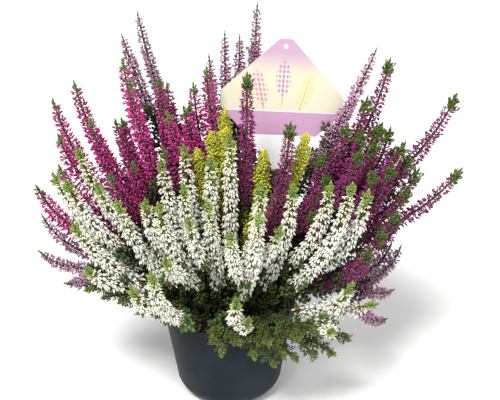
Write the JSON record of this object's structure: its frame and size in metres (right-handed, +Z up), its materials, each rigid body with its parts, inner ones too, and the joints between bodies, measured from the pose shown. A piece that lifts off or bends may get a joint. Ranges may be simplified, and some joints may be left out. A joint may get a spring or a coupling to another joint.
{
  "type": "potted heather",
  "caption": "Bud-blooming heathers of several colours growing from soil in one dark plastic pot, with a square plant label on a stake.",
  "frame": {"origin": "centre of the pot's flat underside", "axes": "+Z up along the pot's axis, -Y towards the white heathers at the front, +X to the right seen from the front"},
  "size_m": [0.3633, 0.2233, 0.3481],
  "materials": {
    "pot": "smooth matte dark slate plastic",
    "soil": "moist peat soil, matte",
    "label": "thin printed plastic card, pale pink to cream with a mauve band",
    "lilac": "pale lilac-pink buds on thin brown stems, matte",
    "pink": "magenta-pink buds, matte",
    "purple": "dark purple-red buds with green tips, matte",
    "white": "ivory-white buds with light green tips, matte",
    "yellow": "yellow-green scale leaves, matte",
    "green": "dark green scale leaves, matte"
  },
  "bodies": {
    "root": {"pot": "pot", "soil": "soil", "label": "label", "lilac_spray_01": "lilac", "lilac_spray_02": "lilac", "lilac_spray_03": "lilac", "lilac_spray_04": "lilac", "lilac_spray_05": "lilac", "lilac_spray_06": "lilac", "lilac_spray_07": "lilac", "lilac_spray_08": "lilac", "lilac_spray_09": "lilac", "lilac_spray_10": "lilac", "lilac_spray_11": "lilac", "pink_spray_01": "pink", "pink_spray_02": "pink", "pink_spray_03": "pink", "pink_spray_04": "pink", "pink_spray_05": "pink", "pink_spray_06": "pink", "pink_spray_07": "pink", "pink_spray_08": "pink", "purple_spray_01": "purple", "purple_spray_02": "purple", "purple_spray_03": "purple", "purple_spray_04": "purple", "purple_spray_05": "purple", "purple_spray_06": "purple", "purple_spray_07": "purple", "purple_spray_08": "purple", "purple_spray_09": "purple", "purple_spray_10": "purple", "purple_spray_11": "purple", "white_spray_01": "white", "white_spray_02": "white", "white_spray_03": "white", "white_spray_04": "white", "white_spray_05": "white", "white_spray_06": "white", "white_spray_07": "white", "white_spray_08": "white", "white_spray_09": "white", "white_spray_10": "white", "white_spray_11": "white", "white_spray_12": "white", "white_spray_13": "white", "white_spray_14": "white", "white_spray_15": "white", "white_spray_16": "white", "yellow_spray_01": "yellow", "yellow_spray_02": "yellow", "yellow_spray_03": "yellow", "green_spray_01": "green", "green_spray_02": "green", "green_spray_03": "green", "green_spray_04": "green", "green_spray_05": "green", "green_spray_06": "green", "green_spray_07": "green", "green_spray_08": "green"}
  },
  "joints": []
}
